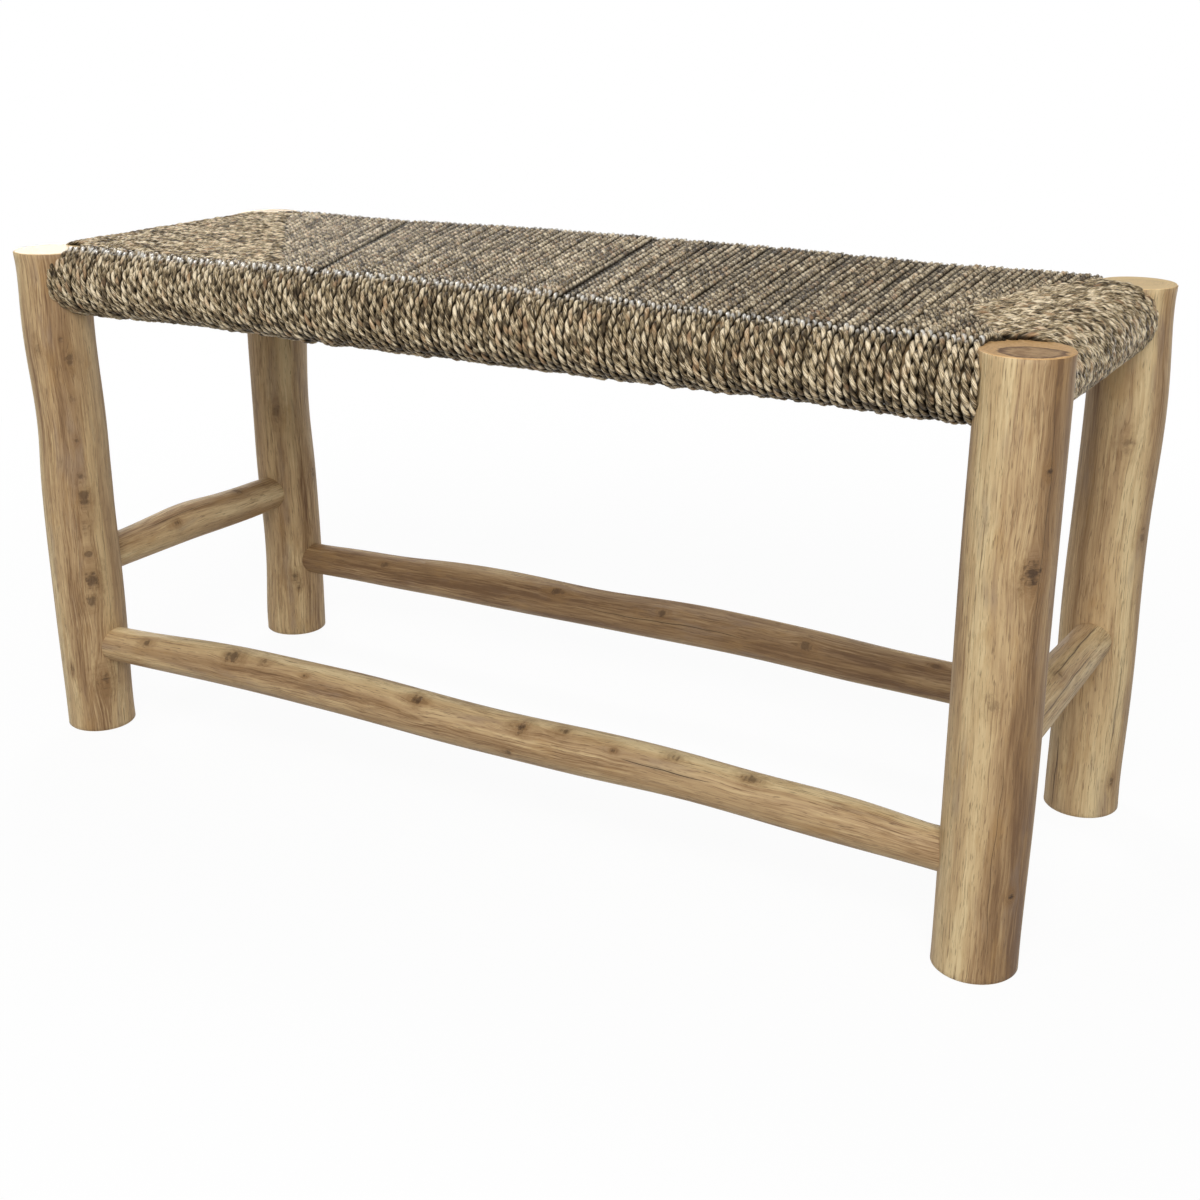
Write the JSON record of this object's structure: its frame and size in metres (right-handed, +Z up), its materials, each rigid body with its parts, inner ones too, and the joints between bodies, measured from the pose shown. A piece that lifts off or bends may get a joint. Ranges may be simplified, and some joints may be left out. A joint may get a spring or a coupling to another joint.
{
  "type": "rustic log bench",
  "caption": "Free-standing bench of peeled round logs with round stretchers and a flat seat wound from twisted natural cord.",
  "frame": {"origin": "on the floor, at the middle of the bench's footprint", "axes": "+X along the bench to its right end, +Y from the front to the back, +Z up"},
  "size_m": [0.935, 0.3576, 0.4576],
  "materials": {
    "peeled_log": "pale teak, peeled and sanded, with brown streaks, fine pores and small knots",
    "hidden_rail": "plain teak, peeled and left rough",
    "natural_cord": "two-ply twisted seagrass in straw, tan and grey-brown, slightly glossy",
    "tack_steel": "plain bright steel"
  },
  "bodies": {
    "root": {"leg_front_left": "peeled_log", "leg_front_right": "peeled_log", "leg_back_left": "peeled_log", "leg_back_right": "peeled_log", "stretcher_front": "peeled_log", "stretcher_back": "peeled_log", "stretcher_left": "peeled_log", "stretcher_right": "peeled_log", "seat_rail_front": "hidden_rail", "seat_rail_back": "hidden_rail", "seat_rail_left": "hidden_rail", "seat_rail_right": "hidden_rail", "woven_seat": "natural_cord", "cord_tacks": "tack_steel"}
  },
  "joints": []
}
